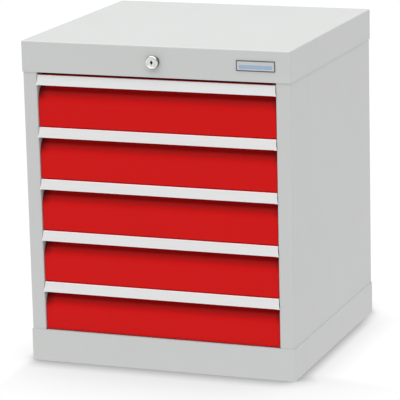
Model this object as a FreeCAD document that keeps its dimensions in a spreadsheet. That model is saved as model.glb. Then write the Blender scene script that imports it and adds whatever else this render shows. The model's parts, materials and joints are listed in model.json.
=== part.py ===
import FreeCAD, Part
import os
import Sketcher

# Steel drawer cabinet with five equal drawers on telescopic runners and a central lock.
# +Z is up, the fronts face -Y, and the origin is the middle of the footprint on the floor.
# All sizes are millimetres. Every size lives in the sheet and reaches the features as an expression.

os.makedirs("parts", exist_ok=True)
doc = FreeCAD.newDocument("drawer_cabinet")
sheet = doc.addObject("Spreadsheet::Sheet", "Sizes")


class Size:
    # A length that carries its number and the sheet expression that gives it.
    def __init__(self, text, value):
        self.text = text
        self.value = value

    def joined(self, sign, other, value):
        return Size(f"({self.text} {sign} {other.text})", value)

    def __add__(self, other):
        other = as_size(other)
        return self.joined("+", other, self.value + other.value)

    def __sub__(self, other):
        other = as_size(other)
        return self.joined("-", other, self.value - other.value)

    def __mul__(self, other):
        other = as_size(other)
        return self.joined("*", other, self.value * other.value)

    def __truediv__(self, other):
        other = as_size(other)
        return self.joined("/", other, self.value / other.value)

    def __neg__(self):
        return Size(f"(0 - {self.text})", -self.value)


def as_size(number):
    return number if isinstance(number, Size) else Size(repr(float(number)), float(number))


def root(area):
    return Size(f"sqrt({area.text})", area.value ** 0.5)


def size(name, value):
    row = len(sheet.getUsedCells()) // 2 + 1
    sheet.set(f"A{row}", name)
    sheet.set(f"B{row}", repr(value))
    sheet.setAlias(f"B{row}", name)
    return Size(f"Sizes.{name}", float(value))


# ---- driving sizes -------------------------------------------------------------------------

cabinet_width = size("cabinet_width", 530)
cabinet_depth = size("cabinet_depth", 500)
cabinet_height = size("cabinet_height", 620)
plinth_height = size("plinth_height", 61)
fascia_height = size("fascia_height", 59)
stile_width = size("stile_width", 29)
steel = size("steel", 1.5)
bend_radius = size("bend_radius", 2.5)
drawer_count = 5

stile_return = size("stile_return", 30)
rear_flange = size("rear_flange", 25)
panel_foot = size("panel_foot", 31)
rear_sheet = size("rear_sheet", 1)
rear_edge_gap = size("rear_edge_gap", 3.5)
turned_lip = size("turned_lip", 12)
lip_end_gap = size("lip_end_gap", 1)
plinth_flange = size("plinth_flange", 20)
floor_drop = size("floor_drop", 3)
floor_flange = size("floor_flange", 15)

upright_width = size("upright_width", 40)
upright_foot = size("upright_foot", 12)
front_upright_place = size("front_upright_place", 38)
rear_upright_inset = size("rear_upright_inset", 120)
slot_width = size("slot_width", 4)
slot_height = size("slot_height", 14)
slots_per_upright = 10

runner_thickness = size("runner_thickness", 12.7)
runner_room = size("runner_room", 100)
runner_steel = size("runner_steel", 1.2)
runner_depth = size("runner_depth", 55)
outer_half_height = size("outer_half_height", 22.85)
outer_flange = size("outer_flange", 9)
middle_half_height = size("middle_half_height", 20)
middle_set_in = size("middle_set_in", 3)
middle_flange = size("middle_flange", 8)
race_width = size("race_width", 3)
race_gap = size("race_gap", 0.05)
outer_race_place = size("outer_race_place", 2)
inner_race_place = size("inner_race_place", 4)
inner_half_height = size("inner_half_height", 15.5)
inner_flange = size("inner_flange", 7.3)
runner_corner = size("runner_corner", 1.1)
runner_start = size("runner_start", 32.5)
hook_tab_reach = size("hook_tab_reach", 5)
hook_tab_width = size("hook_tab_width", 2.5)
hook_tab_height = size("hook_tab_height", 10)

front_recess = size("front_recess", 3.4)
front_sheet = size("front_sheet", 1.25)
front_side_gap = size("front_side_gap", 1.2)
front_overhang = size("front_overhang", 4)
lowest_front_lift = size("lowest_front_lift", 5.2)
scoop_depth = size("scoop_depth", 24.1)
scoop_rise = size("scoop_rise", 16)
scoop_corner = size("scoop_corner", 37)
scoop_radius = size("scoop_radius", 37)
scoop_top_radius = size("scoop_top_radius", 12)
front_fold_radius = size("front_fold_radius", 1.75)
front_lip_drop = size("front_lip_drop", 16)

handle_drop = size("handle_drop", 5.3)
handle_height = size("handle_height", 19)
handle_top_set_back = size("handle_top_set_back", 2.4)
handle_reach = size("handle_reach", 3.3)
handle_wall = size("handle_wall", 1.4)
handle_bead = size("handle_bead", 3)
handle_root = size("handle_root", 4)
handle_foot_radius = size("handle_foot_radius", 1.2)
handle_top_radius = size("handle_top_radius", 1.4)
handle_clip = size("handle_clip", 2.6)
cap_thickness = size("cap_thickness", 2)
cap_nose = size("cap_nose", 2.2)
cap_nose_gap = size("cap_nose_gap", 0.4)
trim_room = size("trim_room", 6)

tray_sheet = size("tray_sheet", 1)
tray_rim = size("tray_rim", 8)
tray_floor_rise = size("tray_floor_rise", 8)
tray_rim_lip = size("tray_rim_lip", 8)
tray_corner = size("tray_corner", 2)

lock_collar = size("lock_collar", 24)
lock_collar_reach = size("lock_collar_reach", 10)
lock_collar_bevel = size("lock_collar_bevel", 1.2)
lock_neck = size("lock_neck", 19)
lock_neck_length = size("lock_neck_length", 23)
plug_diameter = size("plug_diameter", 15)
plug_set_in = size("plug_set_in", 0.4)
running_gap = size("running_gap", 0.05)
neck_hole_gap = size("neck_hole_gap", 0.3)
keyway_width = size("keyway_width", 1.4)
keyway_height = size("keyway_height", 9)
keyway_depth = size("keyway_depth", 8)
key_hole = size("key_hole", 3.6)
nut_across = size("nut_across", 26)
nut_thickness = size("nut_thickness", 5)

rod_diameter = size("rod_diameter", 8)
rod_end_room = size("rod_end_room", 29)
crank_radius = size("crank_radius", 10)
crank_thickness = size("crank_thickness", 4)
crank_boss = size("crank_boss", 16)
crank_eye = size("crank_eye", 10)
crank_pin = size("crank_pin", 6)
crank_pin_reach = size("crank_pin_reach", 7)
bearing_inset = size("bearing_inset", 21)
bearing_steel = size("bearing_steel", 2)
bearing_width = size("bearing_width", 30)
bearing_drop = size("bearing_drop", 12)
bearing_flange = size("bearing_flange", 18)

bar_width = size("bar_width", 32)
bar_thickness = size("bar_thickness", 3)
bar_gap = size("bar_gap", 2)
bar_foot_gap = size("bar_foot_gap", 3)
bar_head = size("bar_head", 12.6)
bar_slot_play = size("bar_slot_play", 0.5)
bar_slot_radius = size("bar_slot_radius", 3.3)
guide_width = size("guide_width", 44)
guide_front = size("guide_front", 2)
guide_height = size("guide_height", 12)
guide_play = size("guide_play", 0.3)
lower_guide_rise = size("lower_guide_rise", 17)
upper_guide_drop = size("upper_guide_drop", 16)

catch_width = size("catch_width", 20)
catch_steel = size("catch_steel", 2)
catch_top = size("catch_top", 20)
catch_reach = size("catch_reach", 26.75)
catch_leg = size("catch_leg", 16)
hook_steel = size("hook_steel", 3)
hook_tip_rise = size("hook_tip_rise", 12)
hook_rest_gap = size("hook_rest_gap", 3.5)
hook_play = size("hook_play", 2.5)
hook_foot = size("hook_foot", 12)

badge_width = size("badge_width", 74.5)
badge_height = size("badge_height", 19.6)
badge_frame_width = size("badge_frame_width", 1.6)
badge_frame_thickness = size("badge_frame_thickness", 1.2)
badge_plate_thickness = size("badge_plate_thickness", 0.8)

# ---- places worked out from them ------------------------------------------------------------

opening_width = cabinet_width - stile_width * 2
half_opening = opening_width / 2
opening_top = cabinet_height - fascia_height
front_pitch = (opening_top - plinth_height) / drawer_count
cover_front = (lock_collar_reach - cabinet_depth) / 2
cover_back = cover_front + cabinet_depth
body_front = cover_front + steel
body_back = cover_back - steel
body_side = cabinet_width / 2 - steel
side_face = body_side - steel
rear_face = body_back - steel
lock_height = opening_top + fascia_height / 2
rear_upright_place = cabinet_depth - rear_upright_inset
slot_pitch = front_pitch / 2
runner_length = cabinet_depth - runner_room
wall_front = front_recess + scoop_depth
tray_front = wall_front + front_sheet
tray_back = tray_front + runner_length
tray_side = half_opening - runner_thickness
tray_floor = front_pitch - tray_floor_rise
handle_seat = handle_drop + handle_wall
rod_end = cover_back - rod_end_room
bearing_place = rod_end - bearing_inset
bar_front = rod_end + bar_gap
bar_back = bar_front + bar_thickness
crank_offset = crank_radius / root(as_size(2))

doc.recompute()


# ---- modelling helpers ----------------------------------------------------------------------

same_place = 0.01
along_axis = 0.99

def new_piece(name):
    body = doc.addObject("PartDesign::Body", name)
    body.Label = name
    body.AllowCompound = True
    return body


def hold(sketch, constraint, text):
    # adds a dimension and binds it to the sheet
    index = sketch.addConstraint(constraint)
    sketch.setExpression(f"Constraints[{index}]", text)


def new_sketch(body, plane, start):
    # a sketch on one of the body's own planes, moved along +X, +Y or +Z by start
    sketch = body.newObject("Sketcher::SketchObject", body.Label + "_sketch")
    roles = {feature.Role: feature for feature in body.Origin.OriginFeatures}
    sketch.AttachmentSupport = (roles[plane], [""])
    sketch.MapMode = "FlatFace"
    offset = -start if plane == "XZ_Plane" else start
    sketch.setExpression("AttachmentOffset.Base.z", offset.text)
    return sketch


def fix_point(sketch, line, end, across, up):
    # holds one point by its two distances from the sketch origin
    for kind, distance in (("DistanceX", across), ("DistanceY", up)):
        hold(sketch, Sketcher.Constraint(kind, -1, 1, line, end, distance.value), distance.text)


def polygon(sketch, corners):
    corners = [(as_size(across), as_size(up)) for across, up in corners]
    points = [FreeCAD.Vector(across.value, up.value, 0) for across, up in corners]
    first = sketch.GeometryCount
    for start, end in zip(points, points[1:] + points[:1]):
        sketch.addGeometry(Part.LineSegment(start, end))
    last = sketch.GeometryCount - 1
    for line in range(first, last):
        sketch.addConstraint(Sketcher.Constraint("Coincident", line, 2, line + 1, 1))
    sketch.addConstraint(Sketcher.Constraint("Coincident", last, 2, first, 1))
    for line, (across, up) in enumerate(corners, first):
        fix_point(sketch, line, 1, across, up)


def circle(sketch, diameter, across=as_size(0), up=as_size(0)):
    centre = FreeCAD.Vector(across.value, up.value, 0)
    line = sketch.addGeometry(Part.Circle(centre, FreeCAD.Vector(0, 0, 1), diameter.value / 2))
    hold(sketch, Sketcher.Constraint("Diameter", line, diameter.value), diameter.text)
    fix_point(sketch, line, 3, across, up)


def rectangle(sketch, left, bottom, right, top):
    polygon(sketch, [(left, bottom), (right, bottom), (right, top), (left, top)])


def mirrored(corners):
    return [(-across, up) for across, up in corners]


def extrude(body, kind, sketch, length, midplane=False):
    feature = body.newObject("PartDesign::" + kind, body.Label + "_" + kind.lower())
    feature.Profile = sketch
    feature.SideType = "Symmetric" if midplane else "One side"
    # an XZ sketch looks along -Y, and a pocket starts out the opposite way to a pad
    looks_back = sketch.AttachmentSupport[0][0].Role == "XZ_Plane"
    feature.Reversed = looks_back == (kind == "Pad")
    feature.setExpression("Length", length.text)
    sketch.Visibility = False
    doc.recompute()
    return feature


def pad(body, sketch, length, midplane=False):
    # adds the sketched area, towards +X, +Y or +Z
    return extrude(body, "Pad", sketch, length, midplane=midplane)


def pocket(body, sketch, length, midplane=False):
    # cuts the sketched area, towards +X, +Y or +Z
    before = body.Shape.Volume
    feature = extrude(body, "Pocket", sketch, length, midplane=midplane)
    if body.Shape.Volume > before - 1e-3:
        raise ValueError(body.Label + ": a pocket cut nothing")
    return feature


def dress(body, kind, measure, amount, names):
    base = body.Tip
    feature = body.newObject("PartDesign::" + kind, body.Label + "_" + kind.lower())
    feature.Base = (base, names)
    feature.setExpression(measure, amount.text)
    doc.recompute()
    return feature


def round_edges(body, radius, chosen):
    # rounds the straight edges for which chosen(middle point, direction) is true
    names = []
    for index, edge in enumerate(body.Tip.Shape.Edges, 1):
        if edge.Curve.TypeId != "Part::GeomLine":
            continue
        if chosen(edge.CenterOfMass, edge.tangentAt(edge.FirstParameter)):
            names.append(f"Edge{index}")
    if not names:
        raise ValueError(body.Label + ": no edge to round")
    return dress(body, "Fillet", "Radius", radius, names)


def near(number, size_value):
    return abs(number - size_value.value) < same_place


def upright_edge(direction):
    return abs(direction.z) > along_axis


def level_edge(direction):
    return abs(direction.x) > along_axis


def deep_edge(direction):
    return abs(direction.y) > along_axis


def in_cell(body, index):
    # stands a drawer's piece in its place: its zero is the top of the cell on the stile plane
    body.setExpression("Placement.Base.y", body_front.text)
    body.setExpression("Placement.Base.z", (opening_top - front_pitch * index).text)
    return body


# ---- cabinet body ---------------------------------------------------------------------------

def top_cover():
    # a cap folded on all four sides: its front side is the fascia that holds the lock
    body = new_piece("top_cover")
    skirt = new_sketch(body, "XY_Plane", opening_top)
    rectangle(skirt, -cabinet_width / 2, cover_front, cabinet_width / 2, cover_back)
    pad(body, skirt, cabinet_height - opening_top)
    round_edges(body, bend_radius, lambda point, way: upright_edge(way) or near(point.z, cabinet_height))
    hollow = new_sketch(body, "XY_Plane", opening_top)
    rectangle(hollow, -body_side, body_front, body_side, body_back)
    pocket(body, hollow, cabinet_height - opening_top - steel)
    lip = new_sketch(body, "XY_Plane", opening_top)
    rectangle(lip, lip_end_gap - half_opening, cover_front + steel / 2, half_opening - lip_end_gap,
              cover_front + turned_lip)
    pad(body, lip, steel)
    lock_hole = new_sketch(body, "XZ_Plane", cover_front)
    circle(lock_hole, lock_neck + neck_hole_gap * 2, up=lock_height)
    pocket(body, lock_hole, steel)
    return body


def base_plinth():
    # a ring that wraps the foot of the body, with a flange turned in along the floor
    body = new_piece("base_plinth")
    ring = new_sketch(body, "XY_Plane", as_size(0))
    rectangle(ring, -cabinet_width / 2, cover_front, cabinet_width / 2, cover_back)
    pad(body, ring, plinth_height)
    round_edges(body, bend_radius, lambda point, way: upright_edge(way))
    hollow = new_sketch(body, "XY_Plane", steel)
    rectangle(hollow, -body_side, body_front, body_side, body_back)
    pocket(body, hollow, plinth_height)
    underside = new_sketch(body, "XY_Plane", as_size(0))
    rectangle(underside, plinth_flange - body_side, body_front + plinth_flange,
              body_side - plinth_flange, body_back - plinth_flange)
    pocket(body, underside, steel)
    lip = new_sketch(body, "XY_Plane", plinth_height - steel)
    rectangle(lip, lip_end_gap - half_opening, cover_front + steel / 2, half_opening - lip_end_gap,
              cover_front + turned_lip)
    pad(body, lip, steel)
    return body


def side_panel(name, hand):
    # one sheet folded in plan: rear flange, side, front stile and the stile's return
    body = new_piece(name)
    plan = [(half_opening, body_front), (body_side, body_front), (body_side, body_back),
            (body_side - rear_flange, body_back), (body_side - rear_flange, rear_face),
            (side_face, rear_face), (side_face, body_front + steel),
            (half_opening + steel, body_front + steel),
            (half_opening + steel, body_front + stile_return), (half_opening, body_front + stile_return)]
    fold = new_sketch(body, "XY_Plane", panel_foot)
    polygon(fold, [(across * hand, along) for across, along in plan])
    pad(body, fold, cabinet_height - steel - panel_foot)
    for radius, across, along in (
            (bend_radius, body_side, body_front), (bend_radius, body_side, body_back),
            (bend_radius, half_opening, body_front),
            (bend_radius - steel, side_face, body_front + steel),
            (bend_radius - steel, side_face, rear_face),
            (bend_radius - steel, half_opening + steel, body_front + steel)):
        round_edges(body, radius, lambda point, way: upright_edge(way)
                    and near(abs(point.x), across) and near(point.y, along))
    return body


def rear_panel():
    body = new_piece("rear_panel")
    back = new_sketch(body, "XZ_Plane", rear_face - rear_sheet)
    half_width = body_side - rear_edge_gap
    rectangle(back, -half_width, panel_foot, half_width, cabinet_height - steel)
    pad(body, back, rear_sheet)
    return body


def floor_panel():
    # closes the body under the lowest drawer, with its edges turned down
    body = new_piece("floor_panel")
    top = plinth_height - floor_drop
    plate = new_sketch(body, "XY_Plane", top - floor_flange)
    rectangle(plate, -half_opening, body_front, half_opening, rear_face - rear_sheet)
    pad(body, plate, floor_flange)
    hollow = new_sketch(body, "XY_Plane", top - floor_flange)
    rectangle(hollow, steel - half_opening, body_front + steel, half_opening - steel,
              rear_face - rear_sheet - steel)
    pocket(body, hollow, floor_flange - steel)
    return body


def upright_pair(name, place):
    # hat sections welded to the side panels, slotted for the runners' hook tabs
    body = new_piece(name)
    near_side = body_front + place
    far_side = near_side + upright_width
    plan = [(half_opening, near_side), (side_face - steel, near_side),
            (side_face - steel, near_side - upright_foot), (side_face, near_side - upright_foot),
            (side_face, near_side + steel), (half_opening + steel, near_side + steel),
            (half_opening + steel, far_side - steel), (side_face, far_side - steel),
            (side_face, far_side + upright_foot), (side_face - steel, far_side + upright_foot),
            (side_face - steel, far_side), (half_opening, far_side)]
    hats = new_sketch(body, "XY_Plane", panel_foot)
    polygon(hats, plan)
    polygon(hats, mirrored(plan))
    pad(body, hats, opening_top - panel_foot)
    slot = new_sketch(body, "YZ_Plane", as_size(0))
    middle = near_side + upright_width / 2
    lowest = opening_top - runner_depth - front_pitch * (drawer_count - 1)
    rectangle(slot, middle - slot_width / 2, lowest - slot_height / 2,
              middle + slot_width / 2, lowest + slot_height / 2)
    cut = pocket(body, slot, opening_width + steel * 2, midplane=True)
    row = body.newObject("PartDesign::LinearPattern", name + "_slots")
    row.Originals = [cut]
    row.Direction = (slot, ["V_Axis"])
    row.setExpression("Length", (slot_pitch * (slots_per_upright - 1)).text)
    row.Occurrences = slots_per_upright
    body.Tip = row
    doc.recompute()
    return body


# ---- runners --------------------------------------------------------------------------------

def channel(mouth, web, half_height, wall):
    # the outline of a C section that lies on its side, from the flange tips at mouth to the web
    inner_web = web - wall if web.value > mouth.value else web + wall
    return [(mouth, half_height), (web, half_height), (web, -half_height), (mouth, -half_height),
            (mouth, wall - half_height), (inner_web, wall - half_height),
            (inner_web, half_height - wall), (mouth, half_height - wall)]


def runner_member(name, index, section, start, rounded_at):
    # the left and right members of one drawer's runners
    body = in_cell(new_piece(name), index)
    section = [(across, up - runner_depth) for across, up in section]
    profile = new_sketch(body, "XZ_Plane", start)
    polygon(profile, section)
    polygon(profile, mirrored(section))
    pad(body, profile, runner_length)
    round_edges(body, runner_corner, lambda point, way: deep_edge(way)
                and near(abs(point.x), rounded_at[0])
                and near(abs(point.z + runner_depth.value), rounded_at[1]))
    return body


def outer_members(index):
    web = half_opening
    section = channel(web - outer_flange, web, outer_half_height, runner_steel)
    body = runner_member(f"runner_outer_{index + 1}", index, section, runner_start,
                         (web, outer_half_height))
    # hook tabs that stand through the slots of the uprights
    for place in (front_upright_place, rear_upright_place):
        middle = place + upright_width / 2
        tabs = new_sketch(body, "XZ_Plane", middle - hook_tab_width / 2)
        tab = [(half_opening - runner_steel / 2, -runner_depth - hook_tab_height / 2),
               (half_opening + hook_tab_reach, -runner_depth - hook_tab_height / 2),
               (half_opening + hook_tab_reach, -runner_depth + hook_tab_height / 2),
               (half_opening - runner_steel / 2, -runner_depth + hook_tab_height / 2)]
        polygon(tabs, tab)
        polygon(tabs, mirrored(tab))
        pad(body, tabs, hook_tab_width)
    return body


def middle_members(index):
    # the middle member's raised races run against the flanges of the members on both sides of it
    web = half_opening - middle_set_in
    roof = middle_half_height
    ceiling = roof - runner_steel
    outer_race = outer_half_height - runner_steel - race_gap
    inner_race = inner_half_height + race_gap
    outer_start = web - outer_race_place
    inner_start = web - inner_race_place
    upper = [(web, roof), (outer_start, roof), (outer_start, outer_race),
             (outer_start - race_width, outer_race), (outer_start - race_width, roof),
             (web - middle_flange, roof), (web - middle_flange, ceiling),
             (inner_start - race_width, ceiling), (inner_start - race_width, inner_race),
             (inner_start, inner_race), (inner_start, ceiling), (web - runner_steel, ceiling)]
    lower = [(across, -up) for across, up in reversed(upper)]
    return runner_member(f"runner_middle_{index + 1}", index, upper + lower, runner_start,
                         (web, middle_half_height))


def inner_members(index):
    section = channel(tray_side + inner_flange, tray_side, inner_half_height, runner_steel)
    return runner_member(f"runner_inner_{index + 1}", index, section, runner_start,
                         (tray_side, inner_half_height))


# ---- drawers --------------------------------------------------------------------------------

def drawer_front(index):
    # a folded front: flat below, then a finger scoop that turns back under the handle strip
    body = in_cell(new_piece(f"drawer_front_{index + 1}"), index)
    bottom = -(front_pitch + front_overhang)
    if index == drawer_count - 1:
        bottom = bottom + lowest_front_lift
    slope = root(scoop_depth * scoop_depth + scoop_rise * scoop_rise)
    inner_shift = front_sheet * scoop_depth / (slope + scoop_rise)
    inner_face = front_recess + front_sheet
    lip_top = front_lip_drop - front_pitch
    scoop_turn = -scoop_corner
    wall_turn = scoop_rise - scoop_corner
    side = new_sketch(body, "YZ_Plane", as_size(0))
    polygon(side, [(front_recess, bottom), (front_recess, scoop_turn), (wall_front, wall_turn),
                   (wall_front, -handle_seat), (tray_front, -handle_seat),
                   (tray_front, wall_turn - inner_shift), (inner_face, scoop_turn - inner_shift),
                   (inner_face, bottom + front_sheet), (wall_front, bottom + front_sheet),
                   (wall_front, lip_top), (tray_front, lip_top), (tray_front, bottom)])
    width = opening_width - front_side_gap * 2
    pad(body, side, width, midplane=True)
    cheek = [(front_recess, bottom), (front_recess, scoop_turn), (wall_front, wall_turn),
             (tray_front, wall_turn - inner_shift), (tray_front, bottom)]
    for start in (-width / 2, width / 2 - front_sheet):
        end = new_sketch(body, "YZ_Plane", start)
        polygon(end, cheek)
        pad(body, end, front_sheet)
    for radius, along, up in (
            (scoop_radius, front_recess, scoop_turn), (scoop_top_radius, wall_front, wall_turn),
            (scoop_radius - front_sheet, inner_face, scoop_turn - inner_shift),
            (scoop_top_radius + front_sheet, tray_front, wall_turn - inner_shift),
            (front_fold_radius, front_recess, bottom)):
        round_edges(body, radius, lambda point, way: level_edge(way)
                    and near(point.y, along) and near(point.z, up))
    return body


def handle_profile():
    # the strip's section: a slanted lip that thickens towards its root, the top web and the clip behind
    foot = -(handle_drop + handle_height)
    clip_front = wall_front - handle_wall
    return [(handle_top_set_back, -handle_drop), (tray_front + tray_sheet, -handle_drop),
            (tray_front + tray_sheet, -handle_seat), (wall_front, -handle_seat),
            (wall_front, -handle_seat - handle_clip), (clip_front, -handle_seat - handle_clip),
            (clip_front, -handle_seat), (handle_root, -handle_seat),
            (handle_bead - handle_reach, foot), (-handle_reach, foot)]


def handle_strip(index):
    body = in_cell(new_piece(f"handle_strip_{index + 1}"), index)
    section = new_sketch(body, "YZ_Plane", as_size(0))
    polygon(section, handle_profile())
    length = opening_width - (front_side_gap + cap_thickness) * 2
    pad(body, section, length, midplane=True)
    foot = handle_drop + handle_height
    round_edges(body, handle_foot_radius, lambda point, way: level_edge(way)
                and near(-point.z, foot))
    round_edges(body, handle_top_radius, lambda point, way: level_edge(way)
                and near(-point.z, handle_drop) and near(point.y, handle_top_set_back))
    return body


def handle_end_caps(index):
    # moulded caps that close the strip's ends; their noses reach in front of the stiles
    body = in_cell(new_piece(f"handle_end_caps_{index + 1}"), index)
    foot = -(handle_drop + handle_height)
    lean = handle_top_set_back + handle_reach
    gusset = [(handle_top_set_back, -handle_drop), (wall_front, -handle_drop),
              (wall_front, -handle_seat - handle_clip), (handle_bead - handle_reach, foot),
              (-handle_reach, foot)]
    inner_end = half_opening - front_side_gap - cap_thickness
    for start in (inner_end, -inner_end - cap_thickness):
        plate = new_sketch(body, "YZ_Plane", start)
        polygon(plate, gusset)
        pad(body, plate, cap_thickness)
    nose_top = -handle_drop - handle_height * (handle_top_set_back + cap_nose_gap) / lean
    outer_end = inner_end + cap_thickness
    nose = [(outer_end - cap_thickness / 2, nose_top), (outer_end, nose_top),
            (outer_end + cap_nose, foot), (outer_end - cap_thickness / 2, foot)]
    noses = new_sketch(body, "XZ_Plane", -handle_reach)
    polygon(noses, nose)
    polygon(noses, mirrored(nose))
    pad(body, noses, handle_reach - cap_nose_gap)
    # trims the noses flush with the slanted face of the strip
    front = new_sketch(body, "YZ_Plane", as_size(0))
    slip = trim_room * lean / handle_height
    ahead = -handle_reach - slip - trim_room
    polygon(front, [(handle_top_set_back + slip, trim_room - handle_drop),
                    (-handle_reach - slip, foot - trim_room), (ahead, foot - trim_room),
                    (ahead, trim_room - handle_drop)])
    pocket(body, front, cabinet_width, midplane=True)
    return body


def tray(index):
    # an open folded box whose long rims are turned out
    body = in_cell(new_piece(f"drawer_tray_{index + 1}"), index)
    base = new_sketch(body, "XY_Plane", -tray_floor)
    rectangle(base, -tray_side, tray_front, tray_side, tray_back)
    pad(body, base, tray_floor - tray_rim)
    round_edges(body, tray_corner, lambda point, way: near(-point.z, tray_floor))
    hollow = new_sketch(body, "XY_Plane", tray_sheet - tray_floor)
    rectangle(hollow, tray_sheet - tray_side, tray_front + tray_sheet, tray_side - tray_sheet,
              tray_back - tray_sheet)
    pocket(body, hollow, tray_floor)
    rims = new_sketch(body, "XY_Plane", -tray_rim - tray_sheet)
    rim = [(tray_side - tray_sheet / 2, tray_front + tray_corner),
           (tray_side + tray_rim_lip, tray_front + tray_corner),
           (tray_side + tray_rim_lip, tray_back - tray_corner),
           (tray_side - tray_sheet / 2, tray_back - tray_corner)]
    polygon(rims, rim)
    polygon(rims, mirrored(rim))
    pad(body, rims, tray_sheet)
    return body


def rear_catch(index):
    # the bracket on the tray's back that the lock hook holds
    body = in_cell(new_piece(f"rear_catch_{index + 1}"), index)
    leg_bottom = -(catch_top + catch_leg)
    end = tray_back + catch_reach
    side = new_sketch(body, "YZ_Plane", as_size(0))
    polygon(side, [(tray_back, -catch_top), (end, -catch_top), (end, leg_bottom),
                   (end - catch_steel, leg_bottom), (end - catch_steel, -catch_top - catch_steel),
                   (tray_back + catch_steel, -catch_top - catch_steel),
                   (tray_back + catch_steel, leg_bottom), (tray_back, leg_bottom)])
    pad(body, side, catch_width, midplane=True)
    return body


# ---- central lock ---------------------------------------------------------------------------

def lock_barrel():
    # a turned housing: collar in front of the fascia, neck through it, bore for the plug
    body = new_piece("lock_barrel")
    collar = new_sketch(body, "XZ_Plane", cover_front - lock_collar_reach)
    circle(collar, lock_collar, up=lock_height)
    pad(body, collar, lock_collar_reach)
    rim = [f"Edge{index}" for index, edge in enumerate(body.Tip.Shape.Edges, 1)
           if near(edge.BoundBox.YMax, cover_front - lock_collar_reach)]
    dress(body, "Chamfer", "Size", lock_collar_bevel, rim)
    neck = new_sketch(body, "XZ_Plane", cover_front - running_gap)
    circle(neck, lock_neck, up=lock_height)
    pad(body, neck, lock_neck_length)
    bore = new_sketch(body, "XZ_Plane", cover_front - lock_collar_reach)
    circle(bore, plug_diameter + running_gap * 2, up=lock_height)
    pocket(body, bore, lock_collar_reach + lock_neck_length)
    return body


def lock_nut():
    body = new_piece("lock_nut")
    half = nut_across / 2
    corner = nut_across / root(as_size(3))
    ring = new_sketch(body, "XZ_Plane", body_front)
    polygon(ring, [(corner, lock_height), (corner / 2, lock_height + half),
                   (-corner / 2, lock_height + half), (-corner, lock_height),
                   (-corner / 2, lock_height - half), (corner / 2, lock_height - half)])
    pad(body, ring, nut_thickness)
    hole = new_sketch(body, "XZ_Plane", body_front)
    circle(hole, lock_neck + neck_hole_gap * 2, up=lock_height)
    pocket(body, hole, nut_thickness)
    return body


def lock_plug():
    # the turning core with its upright keyway and the round key hole in the middle
    body = new_piece("lock_plug")
    face = cover_front - lock_collar_reach + plug_set_in
    core = new_sketch(body, "XZ_Plane", face)
    circle(core, plug_diameter, up=lock_height)
    pad(body, core, lock_collar_reach + lock_neck_length)
    keyway = new_sketch(body, "XZ_Plane", face)
    rectangle(keyway, -keyway_width / 2, lock_height - keyway_height / 2, keyway_width / 2,
              lock_height + keyway_height / 2)
    pocket(body, keyway, keyway_depth)
    round_hole = new_sketch(body, "XZ_Plane", face)
    circle(round_hole, key_hole, up=lock_height)
    pocket(body, round_hole, keyway_depth)
    return body


def lock_rod():
    # carries the plug's turn from the front to the back of the cabinet
    body = new_piece("lock_rod")
    start = cover_front + lock_neck_length + plug_set_in
    bar = new_sketch(body, "XZ_Plane", start)
    circle(bar, rod_diameter, up=lock_height)
    pad(body, bar, rod_end - start)
    return body


def crank_arm():
    # turns with the rod; its pin works from below the axis to above it
    body = new_piece("crank_arm")
    start = rod_end - crank_thickness
    for diameter, offset in ((crank_boss, as_size(0)), (crank_eye, crank_offset)):
        disc = new_sketch(body, "XZ_Plane", start)
        circle(disc, diameter, -offset, lock_height - offset)
        pad(body, disc, crank_thickness)
    pin = new_sketch(body, "XZ_Plane", start)
    circle(pin, crank_pin, -crank_offset, lock_height - crank_offset)
    pad(body, pin, crank_thickness + crank_pin_reach)
    bore = new_sketch(body, "XZ_Plane", start)
    circle(bore, rod_diameter + running_gap * 2, up=lock_height)
    pocket(body, bore, crank_thickness)
    return body


def rod_bearing():
    body = new_piece("rod_bearing")
    roof = cabinet_height - steel
    side = new_sketch(body, "YZ_Plane", as_size(0))
    foot = lock_height - bearing_drop
    polygon(side, [(bearing_place, foot), (bearing_place + bearing_steel, foot),
                   (bearing_place + bearing_steel, roof - bearing_steel),
                   (bearing_place + bearing_flange, roof - bearing_steel),
                   (bearing_place + bearing_flange, roof), (bearing_place, roof)])
    pad(body, side, bearing_width, midplane=True)
    hole = new_sketch(body, "XZ_Plane", bearing_place)
    circle(hole, rod_diameter + running_gap * 2, up=lock_height)
    pocket(body, hole, bearing_steel)
    return body


def lock_bar():
    # the upright bar behind the trays, lifted by the crank pin in its slot
    body = new_piece("lock_bar")
    strip = new_sketch(body, "XZ_Plane", bar_front)
    pin_height = lock_height - crank_offset
    rectangle(strip, -bar_width / 2, plinth_height + bar_foot_gap, bar_width / 2, pin_height + bar_head)
    pad(body, strip, bar_thickness)
    slot = new_sketch(body, "XZ_Plane", bar_front)
    reach = crank_pin / 2 + bar_slot_play
    rectangle(slot, -crank_radius - reach, pin_height - reach, reach - crank_offset, pin_height + reach)
    pocket(body, slot, bar_thickness)
    round_edges(body, bar_slot_radius, lambda point, way: deep_edge(way)
                and near(abs(point.z - pin_height.value), reach))
    return body


def lock_hooks():
    # one hook for each drawer, riveted to the bar; the tips rise in front of the catches
    body = new_piece("lock_hooks")
    tip_back = body_front + tray_back + catch_reach - catch_steel - hook_play
    tip_front = tip_back - hook_steel
    side = new_sketch(body, "YZ_Plane", as_size(0))
    for index in range(drawer_count):
        catch_bottom = opening_top - front_pitch * index - catch_top - catch_leg
        tip_top = catch_bottom - hook_rest_gap
        arm_top = tip_top - hook_tip_rise
        arm_bottom = arm_top - hook_steel
        polygon(side, [(tip_front, arm_bottom), (bar_front - hook_steel, arm_bottom),
                       (bar_front - hook_steel, arm_bottom - hook_foot), (bar_front, arm_bottom - hook_foot),
                       (bar_front, arm_top), (tip_back, arm_top), (tip_back, tip_top),
                       (tip_front, tip_top)])
    pad(body, side, catch_width, midplane=True)
    return body


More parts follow.
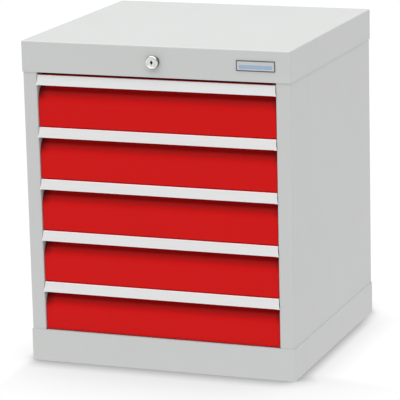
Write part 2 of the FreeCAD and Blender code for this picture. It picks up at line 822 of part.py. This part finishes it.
def bar_guides():
    # two slotted blocks on the rear panel that keep the bar upright
    body = new_piece("bar_guides")
    front = bar_front - guide_front
    back = rear_face - rear_sheet
    play = guide_play
    for height in (plinth_height + lower_guide_rise, opening_top - upper_guide_drop):
        block = new_sketch(body, "XY_Plane", height)
        rectangle(block, -guide_width / 2, front, guide_width / 2, back)
        rectangle(block, -bar_width / 2 - play, bar_front - play, bar_width / 2 + play, bar_back + play)
        pad(body, block, guide_height)
    return body


# ---- badge ----------------------------------------------------------------------------------

def badge_frame():
    body = new_piece("badge_frame")
    ring = new_sketch(body, "XZ_Plane", cover_front - badge_frame_thickness)
    low = lock_height - badge_height / 2
    left = half_opening - badge_width
    rectangle(ring, left, low, half_opening, low + badge_height)
    rectangle(ring, left + badge_frame_width, low + badge_frame_width,
              half_opening - badge_frame_width, low + badge_height - badge_frame_width)
    pad(body, ring, badge_frame_thickness)
    return body


def badge_plate():
    # the bare plate that the frame holds
    body = new_piece("badge_plate")
    field = new_sketch(body, "XZ_Plane", cover_front - badge_plate_thickness)
    low = lock_height - badge_height / 2 + badge_frame_width
    left = half_opening - badge_width + badge_frame_width
    rectangle(field, left, low, half_opening - badge_frame_width,
              low + badge_height - badge_frame_width * 2)
    pad(body, field, badge_plate_thickness)
    return body


# ---- the assembly ---------------------------------------------------------------------------

pieces = [top_cover(), base_plinth(), side_panel("left_side_panel", -1), side_panel("right_side_panel", 1),
          rear_panel(), floor_panel(), upright_pair("front_uprights", front_upright_place),
          upright_pair("rear_uprights", rear_upright_place), lock_barrel(), lock_nut(), lock_plug(),
          lock_rod(), crank_arm(), rod_bearing(), lock_bar(), lock_hooks(), bar_guides(), badge_frame(),
          badge_plate()]
for index in range(drawer_count):
    pieces += [outer_members(index), middle_members(index), inner_members(index), drawer_front(index),
               handle_strip(index), handle_end_caps(index), tray(index), rear_catch(index)]

doc.recompute()
failed = [thing.Label for thing in doc.Objects if {"Invalid", "Error"} & set(thing.State)]
failed += [piece.Label for piece in pieces if piece.Shape.isNull() or not piece.Shape.isValid()]
if failed:
    raise ValueError("failed: " + ", ".join(failed))
for piece in pieces:
    piece.Shape.exportStep(f"parts/{piece.Label}.step")
print(len(pieces), "pieces,", sum(len(piece.Shape.Solids) for piece in pieces), "solids")
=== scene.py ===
import json
import math

import bmesh
import bpy
from mathutils import Matrix, Vector


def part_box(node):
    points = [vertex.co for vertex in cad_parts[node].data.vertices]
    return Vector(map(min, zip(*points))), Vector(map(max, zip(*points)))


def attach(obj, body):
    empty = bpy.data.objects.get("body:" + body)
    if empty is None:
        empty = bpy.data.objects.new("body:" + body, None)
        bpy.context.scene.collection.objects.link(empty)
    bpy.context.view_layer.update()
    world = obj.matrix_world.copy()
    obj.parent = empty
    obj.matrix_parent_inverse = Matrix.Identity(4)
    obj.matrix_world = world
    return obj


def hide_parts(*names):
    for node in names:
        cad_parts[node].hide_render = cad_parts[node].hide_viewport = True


# Sheet-steel drawer cabinet: light grey body, red scooped fronts, bright handle strips and one lock.
# Everything is in metres, +Z up, with the fronts facing -Y.

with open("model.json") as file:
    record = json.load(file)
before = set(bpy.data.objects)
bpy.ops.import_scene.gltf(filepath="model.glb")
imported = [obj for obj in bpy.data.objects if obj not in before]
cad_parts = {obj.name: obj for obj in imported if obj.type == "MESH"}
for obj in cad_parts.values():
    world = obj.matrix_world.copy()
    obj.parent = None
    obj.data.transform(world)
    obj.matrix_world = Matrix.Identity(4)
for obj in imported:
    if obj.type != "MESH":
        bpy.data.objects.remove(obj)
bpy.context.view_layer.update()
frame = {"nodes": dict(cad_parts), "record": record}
slotOf = {part["node"]: part["material_slot"] for part in frame["record"]["subparts"]}
drawers = range(1, 1 + sum(name.startswith("drawer_front_") for name in frame["nodes"]))
print("frame loaded:", len(frame["nodes"]), "nodes,", len(drawers), "drawers")


class Value:
    # one output socket; arithmetic on it adds Math nodes
    def __init__(self, finish, socket):
        self.finish = finish
        self.socket = socket

    def maths(self, operation, first, second):
        return self.finish.add("ShaderNodeMath", {"operation": operation}, {0: first, 1: second})

    def __add__(self, other):
        return self.maths("ADD", self, other)

    def __sub__(self, other):
        return self.maths("SUBTRACT", self, other)

    def __rsub__(self, other):
        return self.maths("SUBTRACT", other, self)

    def __mul__(self, other):
        return self.maths("MULTIPLY", self, other)

    __radd__ = __add__
    __rmul__ = __mul__


class Finish:
    # a material under construction: constants go straight on the shader, textures through add()
    def __init__(self, name, **constants):
        self.material = bpy.data.materials.new(name)
        self.material.use_nodes = True
        self.tree = self.material.node_tree
        self.shader = self.tree.nodes["Principled BSDF"]
        for socket, amount in constants.items():
            self.shader.inputs[socket].default_value = amount
        self.place = self.add("ShaderNodeTexCoord", out="Object")

    def add(self, kind, settings=None, inputs=None, out=0):
        node = self.tree.nodes.new(kind)
        for name, setting in (settings or {}).items():
            setattr(node, name, setting)
        for name, value in (inputs or {}).items():
            self.feed(node.inputs[name], value)
        return Value(self, node.outputs[out])

    def feed(self, socket, value):
        if isinstance(value, Value):
            self.tree.links.new(value.socket, socket)
        else:
            socket.default_value = value

    def wear(self, name, value):
        # a shader socket that changes over the surface
        self.feed(self.shader.inputs[name], value)

    def vector(self, operation, first, second=None, out=0):
        inputs = {0: first} if second is None else {0: first, 1: second}
        return self.add("ShaderNodeVectorMath", {"operation": operation}, inputs, out)

    def part(self, vector, axis):
        return self.add("ShaderNodeSeparateXYZ", None, {"Vector": vector}, out=axis)

    def size(self, value):
        return self.add("ShaderNodeMath", {"operation": "ABSOLUTE"}, {0: value})

    def fraction(self, value):
        return self.add("ShaderNodeMath", {"operation": "FRACT"}, {0: value})

    def noise(self, grain, detail=2.0, roughness=0.5, along=None):
        # grain is the size of one cell in metres; along squeezes the cells by axis
        return self.add("ShaderNodeTexNoise", None, {
            "Vector": self.vector("MULTIPLY", self.place, along) if along else self.place,
            "Scale": 1 / grain, "Detail": detail, "Roughness": roughness}, out="Fac")

    def contact(self, reach, depth):
        # 1 in the open, falling to about 1 - depth / 2 against a wall
        clear = self.add("ShaderNodeAmbientOcclusion", {"samples": 16}, {"Distance": reach}, out="AO")
        return 1 - (1 - clear) * depth

    def rise(self, value, start, end):
        # 0 before start, 1 after end, and a smooth step between
        return self.add("ShaderNodeMapRange", {"interpolation_type": "SMOOTHSTEP"},
                        {"Value": value, "From Min": start, "From Max": end}, out="Result")

    def mix(self, share, first, second):
        # in colour mode the node takes its colours on sockets 6 and 7 and gives the result on 2
        return self.add("ShaderNodeMix", {"data_type": "RGBA"}, {0: share, 6: first, 7: second}, out=2)

    def mottled(self, share, colour, spread):
        # the colour, from a little darker to a little lighter
        return self.mix(share, tint(colour, 1 - spread), tint(colour, 1 + spread))

    def bump(self, height, look):
        self.wear("Normal", self.add("ShaderNodeBump", None, {
            "Height": height, "Strength": look["relief"], "Distance": look["depth"]}, out="Normal"))


black, white = (0, 0, 0, 1), (1, 1, 1, 1)


def tint(colour, factor):
    return tuple(min(1.0, channel * factor) for channel in colour) + (1.0,)


greyPaint = {"colour": (0.570, 0.580, 0.572), "mottle": 0.03, "drift": 0.11, "speck": 0.0007,
             "speckShare": 0.3, "roughness": 0.46, "patch": 0.035, "patchSpread": 0.08,
             "peel": 0.0022, "peelShare": 0.8, "relief": 0.35, "depth": 0.00004,
             "gloss": 0.30, "glossTint": (1.0, 1.0, 1.0)}
coverPaint = dict(greyPaint, colour=(0.574, 0.584, 0.576))
redPaint = dict(greyPaint, colour=(0.610, 0.0065, 0.0065), roughness=0.42, mottle=0.05, gloss=0.22,
                glossTint=(1.0, 0.34, 0.32))
flangePaint = dict(redPaint, gloss=0.03)
trayPaint = dict(greyPaint, colour=(0.572, 0.583, 0.574), roughness=0.5)
# painted shade in the hollow under each handle strip; its depths are measured down from the top of its
# drawer's cell
scoopShadeLook = {"lift": 0.0045, "start": 0.025, "full": 0.036, "end": 0.054, "bendShadeDepth": 0.35,
             "lean": 0.004, "endRun": 0.0198, "endTop": 0.038, "endLow": 0.062, "endShadeDepth": 0.66}


def scoopPaintedShade(paint):
    # painted shade: the red is darkened round the bend of the hollow under each handle strip,
    # and at the ends of the hollow, most at the left one
    look = scoopShadeLook
    low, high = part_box("drawer_front_1")
    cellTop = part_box("top_cover")[0].z
    pitch = low.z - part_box("drawer_front_2")[0].z
    cells = (cellTop - look["lift"] - paint.part(paint.place, "Z")) * (1 / pitch)
    drop = paint.fraction(cells) * pitch + look["lift"]
    bendShadeMask = paint.rise(drop, look["start"], look["full"]) * (1 - paint.rise(drop, look["full"], look["end"]))
    across = paint.size(paint.part(paint.place, "X") - look["lean"])
    end = high.x + look["lean"]
    endShadeMask = paint.rise(across, end - look["endRun"], end) * (
        1 - paint.rise(drop, look["endTop"], look["endLow"]))
    return (1 - bendShadeMask * look["bendShadeDepth"]) * (1 - endShadeMask * look["endShadeDepth"])


def powderCoat(name, look, paintedRecessShade=None):
    # sprayed and baked powder: orange peel, fine specks and a slow drift of tone
    paint = Finish(name, **{"Specular IOR Level": look["gloss"],
                            "Specular Tint": tint(look["glossTint"], 1.0)})
    drift = paint.noise(look["drift"], detail=3.0)
    specks = paint.noise(look["speck"], detail=1.0)
    tone = drift * (1 - look["speckShare"]) + specks * look["speckShare"]
    colour = paint.mottled(tone, look["colour"], look["mottle"])
    # painted shade: where a shade function is given, the colour is darkened towards black by it
    if paintedRecessShade:
        colour = paint.mix(paintedRecessShade(paint), black, colour)
    paint.wear("Base Color", colour)
    patches = paint.noise(look["patch"])
    paint.wear("Roughness", patches * look["patchSpread"] + (look["roughness"] - look["patchSpread"] / 2))
    peel = paint.noise(look["peel"], roughness=0.6)
    paint.bump(peel * look["peelShare"] + specks * (1 - look["peelShare"]), look)
    return paint.material


stripMetal = {"colour": (0.828, 0.832, 0.834), "metallic": 0.3, "streak": 0.035, "fine": 0.0004,
              "broad": 0.0032, "fineShare": 0.6, "squeeze": (0.012, 1.0, 1.0), "roughness": 0.38,
              "roughSpread": 0.14, "relief": 0.22, "depth": 0.00003}


def drawnMetal(name, look):
    # satin anodised metal with fine drawing lines along the strip
    metal = Finish(name, **{"Metallic": look["metallic"]})
    fine = metal.noise(look["fine"], roughness=0.6, along=look["squeeze"])
    broad = metal.noise(look["broad"], along=look["squeeze"])
    lines = fine * look["fineShare"] + broad * (1 - look["fineShare"])
    metal.wear("Base Color", metal.mottled(lines, look["colour"], look["streak"]))
    metal.wear("Roughness", lines * look["roughSpread"] + (look["roughness"] - look["roughSpread"] / 2))
    metal.bump(lines, look)
    return metal.material


plateMetal = {"colour": (0.575, 0.575, 0.585), "streak": 0.05, "fine": 0.0004, "squeeze": (0.02, 1.0, 1.0),
              "metallic": 0.3, "gloss": 0.4, "roughness": 0.38, "roughSpread": 0.1,
              "relief": 0.15, "depth": 0.00002,
              "blue": (0.31, 0.44, 0.59), "blueSpread": 0.06, "blueGrain": 0.003,
              "bandDrop": 0.0022, "bandHalf": 0.0040, "bandFade": 0.0008,
              "bandReach": 0.0325, "endFade": 0.001}


def badgeField(name, look):
    # brushed plate with one plain pale blue band, faded at its ends
    plate = Finish(name, **{"Specular IOR Level": look["gloss"]})
    fine = plate.noise(look["fine"], roughness=0.6, along=look["squeeze"])
    silver = plate.mottled(fine, look["colour"], look["streak"])
    low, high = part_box("badge_plate")
    middle = (low + high) / 2
    above = plate.size(plate.part(plate.place, "Z") - (middle.z - look["bandDrop"]))
    across = plate.size(plate.part(plate.place, "X") - middle.x)
    band = (1 - plate.rise(above, look["bandHalf"] - look["bandFade"], look["bandHalf"])) * (
        1 - plate.rise(across, look["bandReach"] - look["endFade"], look["bandReach"]))
    blue = plate.mottled(plate.noise(look["blueGrain"]), look["blue"], look["blueSpread"])
    plate.wear("Base Color", plate.mix(band, silver, blue))
    plate.wear("Metallic", (1 - band) * look["metallic"])
    plate.wear("Roughness", fine * look["roughSpread"] + (look["roughness"] - look["roughSpread"] / 2))
    plate.bump(fine, look)
    return plate.material


# the cloud and the rolling lines add to the roughness
zincSteel = {"colour": (0.53, 0.54, 0.56), "cloud": 0.12, "cell": 0.006, "cellShare": 0.45, "grain": 0.02,
             "rolled": 0.0005, "squeeze": (1.0, 0.02, 1.0), "roughness": 0.24, "cloudRough": 0.16,
             "rolledRough": 0.05, "relief": 0.15, "depth": 0.00002}
lockSteel = dict(zincSteel, colour=(0.58, 0.59, 0.60), roughness=0.30)


def platedSteel(name, look):
    # bright zinc with its cloudy grain and faint rolling lines
    metal = Finish(name, **{"Metallic": 1.0})
    cells = metal.add("ShaderNodeTexVoronoi", {"feature": "F1"},
                      {"Vector": metal.place, "Scale": 1 / look["cell"], "Randomness": 1.0}, out="Color")
    cell = metal.add("ShaderNodeSeparateColor", None, {"Color": cells})
    cloud = cell * look["cellShare"] + metal.noise(look["grain"], detail=3.0) * (1 - look["cellShare"])
    rolled = metal.noise(look["rolled"], detail=1.0, along=look["squeeze"])
    metal.wear("Base Color", metal.mottled(cloud, look["colour"], look["cloud"]))
    metal.wear("Roughness", cloud * look["cloudRough"] + rolled * look["rolledRough"] + look["roughness"])
    metal.bump(rolled, look)
    return metal.material


turned = {"haze": 0.004, "dim": 0.94, "lit": 1.05, "ringRough": 0.08, "hazeRough": 0.06,
          "relief": 0.2, "depth": 0.00003}
# painted shade: the collar's skirt is painted dark behind its rim, less so along its top, which faces the
# light
chrome = dict(turned, colour=(0.76, 0.765, 0.755), roughness=0.10, rings=0.00045,
              shadeColour=(0.10, 0.102, 0.108), skirtFrom=0.0115, skirtTo=0.0119, rimFrom=0.0022, rimTo=0.0032,
              litFrom=0.006, litTo=0.013)
# painted shade: the keyway is painted dark inside, and round its hole
plugMetal = dict(turned, colour=(0.73, 0.725, 0.71), roughness=0.18, rings=0.00035,
                 shadeColour=(0.012, 0.012, 0.012), keywayShadeFrom=0.0002, keywayShadeTo=0.0008, hole=0.0022, rim=0.0030)


def turnedMetal(name, look, node, paintedShadeMask):
    # plated turning: fine rings round the lock's axis, with painted shade, a dark colour, where the shade
    # mask gives 1
    metal = Finish(name, **{"Metallic": 1.0})
    low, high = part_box(node)
    offset = metal.vector("SUBTRACT", metal.place, (low + high) / 2)
    spoke = metal.vector("MULTIPLY", offset, (1.0, 0.0, 1.0))
    radius = metal.vector("LENGTH", spoke, out="Value")
    rings = metal.add("ShaderNodeTexNoise", {"noise_dimensions": "1D"},
                      {"W": radius * (1 / look["rings"]), "Scale": 1.0, "Detail": 2.0}, out="Fac")
    haze = metal.noise(look["haze"])
    bright = metal.mix(rings * 0.5 + haze * 0.5, tint(look["colour"], look["dim"]),
                       tint(look["colour"], look["lit"]))
    behind = metal.part(metal.place, "Y") - low.y
    # painted shade: mixes towards the dark shade colour where the mask gives 1
    metal.wear("Base Color", metal.mix(paintedShadeMask(metal, look, radius, behind, metal.part(spoke, "Z")),
                                       bright, tint(look["shadeColour"], 1.0)))
    metal.wear("Roughness", rings * look["ringRough"] + haze * look["hazeRough"] + look["roughness"])
    metal.bump(rings, look)
    return metal.material


# painted shade on the collar's skirt: dark behind the rim, lighter towards its top
def skirtPaintedShade(metal, look, radius, behind, above):
    skirt = metal.rise(radius, look["skirtFrom"], look["skirtTo"])
    return skirt * metal.rise(behind, look["rimFrom"], look["rimTo"]) * (
        1 - metal.rise(above, look["litFrom"], look["litTo"]))


# painted shade in the keyway: dark deeper than its face, and on the face round the hole
def keywayPaintedShade(metal, look, radius, behind, above):
    outside = 1 - metal.rise(behind, look["keywayShadeFrom"], look["keywayShadeTo"])
    return 1 - outside * metal.rise(radius, look["hole"], look["rim"])


capPlastic = {"colour": (0.75, 0.75, 0.755), "mottle": 0.05, "grain": 0.0006, "drift": 0.02,
              "grainShare": 0.4, "gloss": 0.45, "roughness": 0.45, "roughSpread": 0.12,
              "relief": 0.3, "depth": 0.00004}
guidePlastic = dict(capPlastic, colour=(0.035, 0.036, 0.038), roughness=0.42)
badgePlastic = dict(capPlastic, colour=(0.075, 0.085, 0.10), roughness=0.35)


def moulded(name, look):
    # moulded plastic with a fine spark-eroded grain
    plastic = Finish(name, **{"Specular IOR Level": look["gloss"]})
    sparks = plastic.noise(look["grain"], roughness=0.6)
    tone = sparks * look["grainShare"] + plastic.noise(look["drift"]) * (1 - look["grainShare"])
    plastic.wear("Base Color", plastic.mottled(tone, look["colour"], look["mottle"]))
    plastic.wear("Roughness", sparks * look["roughSpread"] + (look["roughness"] - look["roughSpread"] / 2))
    plastic.bump(sparks, look)
    return plastic.material


finishes = {
    "cover_paint": powderCoat("coverPowderCoat", coverPaint),
    "body_paint": powderCoat("bodyPowderCoat", greyPaint),
    # the red fronts carry painted shade in the hollows under their handle strips
    "front_paint": powderCoat("redPowderCoat", redPaint, scoopPaintedShade),
    "tray_paint": powderCoat("trayPowderCoat", trayPaint),
    "handle_metal": drawnMetal("stripAnodised", stripMetal),
    "badge_plate": badgeField("badgeBrushed", plateMetal),
    "cap_plastic": moulded("capMoulding", capPlastic),
    "guide_plastic": moulded("guideMoulding", guidePlastic),
    "badge_frame": moulded("badgeFrameMoulding", badgePlastic),
    "runner_zinc": platedSteel("runnerZinc", zincSteel),
    "lock_steel": platedSteel("lockPlatedSteel", lockSteel),
    # the lock's collar and plug carry painted shade on the skirt and in the keyway
    "lock_chrome": turnedMetal("lockChrome", chrome, "lock_barrel", skirtPaintedShade),
    "lock_core": turnedMetal("lockPlugMetal", plugMetal, "lock_plug", keywayPaintedShade),
}
for name, node in frame["nodes"].items():
    for holder in node.material_slots:
        holder.material = finishes[slotOf[name]]
print("finishes:", len(finishes))

sharpAngle = math.radians(35)
hexSide = math.pi / 3


def settle(mesh, name, body, slotName):
    # turns a bmesh into a finished piece that rides on a body
    bmesh.ops.recalc_face_normals(mesh, faces=mesh.faces)
    data = bpy.data.meshes.new(name)
    mesh.to_mesh(data)
    mesh.free()
    data.shade_smooth()
    data.set_sharp_from_angle(angle=sharpAngle)
    data.materials.append(finishes[slotName])
    piece = bpy.data.objects.new(name, data)
    bpy.context.scene.collection.objects.link(piece)
    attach(piece, body)
    return piece


def turn(mesh, profile, centre, axis, steps):
    # revolves (radius, height) points about axis; a third item makes that ring a hexagon
    axis = Vector(axis).normalized()
    across = axis.orthogonal().normalized()
    up = axis.cross(across)
    rings = []
    for radius, height, *hexed in profile:
        middle = Vector(centre) + axis * height
        if radius == 0:
            rings.append([mesh.verts.new(middle)])
            continue
        ring = []
        for step in range(steps):
            angle = 2 * math.pi * step / steps
            reach = radius
            if hexed:
                reach = radius * math.cos(hexSide / 2) / math.cos(angle % hexSide - hexSide / 2)
            ring.append(mesh.verts.new(middle + (across * math.cos(angle) + up * math.sin(angle)) * reach))
        rings.append(ring)
    for low, high in zip(rings, rings[1:]):
        for step in range(steps):
            after = (step + 1) % steps
            if len(low) == 1:
                mesh.faces.new((low[0], high[step], high[after]))
            elif len(high) == 1:
                mesh.faces.new((low[step], low[after], high[0]))
            else:
                mesh.faces.new((low[step], low[after], high[after], high[step]))


def arc(centre, radius, start, end, steps):
    # points along a round, with its angles in degrees
    angles = [math.radians(start + (end - start) * step / steps) for step in range(steps + 1)]
    return [(centre[0] + radius * math.cos(angle), centre[1] + radius * math.sin(angle)) for angle in angles]


lockLook = {"round": 0.0016, "roundSteps": 6, "bore": 0.00755, "neck": 0.0095, "depth": 0.023,
            "dishEdge": 0.00875, "dishSlope": 0.0006, "dishDrop": 0.0005, "boreEdge": 0.0002,
            "steps": 96, "weld": 1e-6}


def lockHousing():
    # turned collar with a rounded rim and a shallow dished face round the plug
    look = lockLook
    low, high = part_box("lock_barrel")
    middle = (low + high) / 2
    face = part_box("top_cover")[0].y
    collar, reach = (high.x - low.x) / 2, face - low.y
    bore, dish = look["bore"], reach - look["dishDrop"]
    profile = [(bore, -look["depth"]), (look["neck"], -look["depth"]), (look["neck"], 0.0), (collar, 0.0)]
    profile += arc((collar - look["round"], reach - look["round"]), look["round"], 0, 90, look["roundSteps"])
    profile += [(look["dishEdge"] + look["dishSlope"], reach), (look["dishEdge"], dish),
                (bore + look["boreEdge"], dish), (bore, dish - look["boreEdge"]), (bore, -look["depth"])]
    mesh = bmesh.new()
    turn(mesh, profile, (middle.x, face, middle.z), (0, -1, 0), look["steps"])
    bmesh.ops.remove_doubles(mesh, verts=mesh.verts, dist=look["weld"])
    piece = settle(mesh, "lockHousing", "cabinet", "lock_chrome")
    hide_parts("lock_barrel")


lockHousing()
print("lock made")

# sections run from the foot to the middle in shares of radius and rise; a third item marks the hex socket
rivetLook = {"radius": 0.0026, "rise": 0.0011, "steps": 20,
             "section": ((1, 0), (0.97, 0.45), (0.78, 0.85), (0.5, 1), (0.346, 1), (0.277, 0.6), (0, 0.55))}
screwLook = {"radius": 0.0038, "rise": 0.0021, "steps": 24,
             "section": ((1, 0), (1, 0.3), (0.9, 0.72), (0.68, 1), (0.514, 1), (0.447, 0.9, "hex"),
                         (0.447, 0.381, "hex"), (0, 0.319))}
rowLook = {"backEdge": 0.0135, "backFoot": 0.075, "backHead": 0.03, "backCount": 6,
           "trayRim": 0.008, "traySheet": 0.001, "trayEnds": 0.035, "trayCount": 3, "catchReach": 0.006,
           "screwReach": 0.18, "screwCount": 4, "screwRise": 0.012}


def fixings(name, body, slotName, places, look):
    # one piece of like heads, each at (its foot, the way it stands)
    profile = [(radius * look["radius"], rise * look["rise"], *hexed)
               for radius, rise, *hexed in look["section"]]
    mesh = bmesh.new()
    for centre, axis in places:
        turn(mesh, profile, centre, axis, look["steps"])
    settle(mesh, name, body, slotName)


def inRow(start, end, count):
    return [start + (end - start) * step / (count - 1) for step in range(count)]


def backRivets():
    # the rear panel is riveted to the flanges of the side panels
    look = rowLook
    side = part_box("right_side_panel")[1]
    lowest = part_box("rear_panel")[0].z + look["backFoot"]
    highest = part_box("top_cover")[0].z - look["backHead"]
    heads = [((hand * (side.x - look["backEdge"]), side.y, z), (0, 1, 0)) for hand in (-1, 1)
             for z in inRow(lowest, highest, look["backCount"])]
    fixings("rearPanelRivets", "cabinet", "body_paint", heads, rivetLook)


def drawerFixings(index):
    # rivets through the tray into the runners and the catch, screws through its front wall
    look = rowLook
    low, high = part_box(f"drawer_tray_{index}")
    runner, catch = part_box(f"runner_inner_{index}"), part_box(f"rear_catch_{index}")
    wall = high.x - look["trayRim"] - look["traySheet"]
    rivets = [((hand * wall, y, (runner[0].z + runner[1].z) / 2), (-hand, 0, 0)) for hand in (-1, 1)
              for y in inRow(low.y + look["trayEnds"], high.y - look["trayEnds"], look["trayCount"])]
    rivets += [((hand * look["catchReach"], high.y - look["traySheet"], (catch[0].z + catch[1].z) / 2),
                (0, -1, 0)) for hand in (-1, 1)]
    fixings(f"trayRivets_{index}", f"drawer_{index}", "runner_zinc", rivets, rivetLook)
    screws = [((x, low.y + look["traySheet"], low.z + look["screwRise"]), (0, 1, 0))
              for x in inRow(-look["screwReach"], look["screwReach"], look["screwCount"])]
    fixings(f"frontScrews_{index}", f"drawer_{index}", "runner_zinc", screws, screwLook)


backRivets()
for index in drawers:
    drawerFixings(index)
print("fixings made")

flangeFinish = powderCoat("flangePowderCoat", flangePaint)
flangeLook = {"sheet": 0.0006, "setBack": 0.0066, "rearRoom": 0.0012, "sideRoom": 0.0015, "hemSteps": 6}


def frontFlange(index):
    # the red front turns over the handle strip and ends in a thin rounded hem behind its bright edge
    look = flangeLook
    low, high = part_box(f"handle_strip_{index}")
    front, back = low.y + look["setBack"], high.y - look["rearRoom"]
    half = look["sheet"] / 2
    section = [(back, high.z), (back, high.z + look["sheet"])]
    section += arc((front + half, high.z + half), half, 90, 270, look["hemSteps"])
    mesh = bmesh.new()
    rows = [[mesh.verts.new((x, y, z)) for y, z in section]
            for x in (low.x + look["sideRoom"], high.x - look["sideRoom"])]
    for step in range(len(section)):
        after = (step + 1) % len(section)
        mesh.faces.new((rows[0][step], rows[0][after], rows[1][after], rows[1][step]))
    for row in rows:
        mesh.faces.new(row)
    flange = settle(mesh, f"frontFlange_{index}", f"drawer_{index}", "front_paint")
    flange.data.materials[0] = flangeFinish


for index in drawers:
    frontFlange(index)
print("flanges made")

# a shade is its reach beside the plinth, its reach in front of it, and its depth
stageLook = {"glow": 1.02, "wideShade": (0.09, 0.29, 0.50), "closeShade": (0.027, 0.052, 0.94),
             "frontLine": (0.19, 0.245), "sideLine": (0.25, 0.28), "leftFade": 0.5,
             "rearLine": (0.13, 0.26), "rearFade": 0.65, "reach": 60, "sheetDrop": 0.002,
             "world": 0.34, "lamp": 3.5, "lampSpread": 100, "lampLean": 7, "lampTurn": -6}
cameraLook = {"place": (1.679, -4.451, 1.397), "azimuth": 19.695, "elevation": 12.636, "roll": -1.143,
              "focalPixels": 2504.5, "pixelsAcross": 400, "sensor": 36,
              "shiftX": -0.1111, "shiftY": -0.0732, "farClip": 200}


def stageSheet(name, height):
    # a wide glowing sheet of the stage; its own light reaches the cabinet only by hitting it
    mesh = bmesh.new()
    bmesh.ops.create_grid(mesh, x_segments=2, y_segments=2, size=stageLook["reach"],
                          matrix=Matrix.Translation((0, 0, height)))
    data = bpy.data.meshes.new(name)
    mesh.to_mesh(data)
    mesh.free()
    sheet = bpy.data.objects.new(name, data)
    paper = Finish(name + "Paper", **{
        "Base Color": black, "Roughness": 1.0, "Specular IOR Level": 0.0,
        "Emission Color": white, "Emission Strength": stageLook["glow"]})
    paper.material.cycles.emission_sampling = "NONE"
    data.materials.append(paper.material)
    bpy.context.scene.collection.objects.link(sheet)
    return sheet, paper


def floorShade(paper):
    # the plinth's shade on the floor: longest in front, faint on the left and towards the right rear
    look = stageLook
    across, along = paper.part(paper.place, "X"), paper.part(paper.place, "Y")
    left = paper.rise(0 - across, *look["sideLine"])
    front = paper.rise(0 - along, *look["frontLine"]) * (1 - left)
    faint = left * (1 - paper.rise(along, *look["sideLine"])) * look["leftFade"]
    fading = paper.rise(across, *look["sideLine"]) * paper.rise(along, *look["rearLine"]) * look["rearFade"]
    strength = 1 - faint - fading
    parts = [paper.contact(side + front * (ahead - side), strength * depth)
             for side, ahead, depth in (look["wideShade"], look["closeShade"])]
    return parts[0] * parts[1]


def studio():
    look = stageLook
    floor, paper = stageSheet("floor", 0.0)  # what the camera sees: white, with a neutral contact shade
    paper.wear("Emission Color", paper.mix(floorShade(paper), black, white))
    floor.visible_diffuse = False
    floor.visible_glossy = False
    floor.visible_shadow = False
    table, paper = stageSheet("lightTable", -look["sheetDrop"])  # what lights the cabinet from below
    table.visible_camera = False
    world = bpy.data.worlds.new("softRoom")
    world.use_nodes = True
    world.node_tree.nodes["Background"].inputs["Color"].default_value = white
    world.node_tree.nodes["Background"].inputs["Strength"].default_value = look["world"]
    bpy.context.scene.world = world
    lamp = bpy.data.lights.new("ceilingSoftbox", "SUN")
    lamp.energy = look["lamp"]
    lamp.angle = math.radians(look["lampSpread"])
    holder = bpy.data.objects.new("ceilingSoftbox", lamp)
    holder.rotation_euler = (math.radians(look["lampLean"]), 0, math.radians(look["lampTurn"]))
    bpy.context.scene.collection.objects.link(holder)
    bpy.context.scene.view_settings.view_transform = "Standard"


def setCamera():
    # stands the camera by its compass angle, height angle and roll
    look = cameraLook
    compass, rise, roll = (math.radians(look[key]) for key in ("azimuth", "elevation", "roll"))
    back = Vector((math.sin(compass) * math.cos(rise), -math.cos(compass) * math.cos(rise), math.sin(rise)))
    right = Vector((math.cos(compass), math.sin(compass), 0))
    up = back.cross(right)
    across = right * math.cos(roll) + up * math.sin(roll)
    above = up * math.cos(roll) - right * math.sin(roll)
    view = Matrix((across, above, back)).transposed().to_4x4()
    view.translation = Vector(look["place"])
    data = bpy.data.cameras.new("camera")
    data.sensor_width = look["sensor"]
    data.lens = look["focalPixels"] / look["pixelsAcross"] * look["sensor"]
    data.shift_x, data.shift_y = look["shiftX"], look["shiftY"]
    data.clip_end = look["farClip"]
    camera = bpy.data.objects.new("camera", data)
    camera.matrix_world = view
    bpy.context.scene.collection.objects.link(camera)
    bpy.context.scene.camera = camera


studio()
setCamera()
print("studio and camera set")
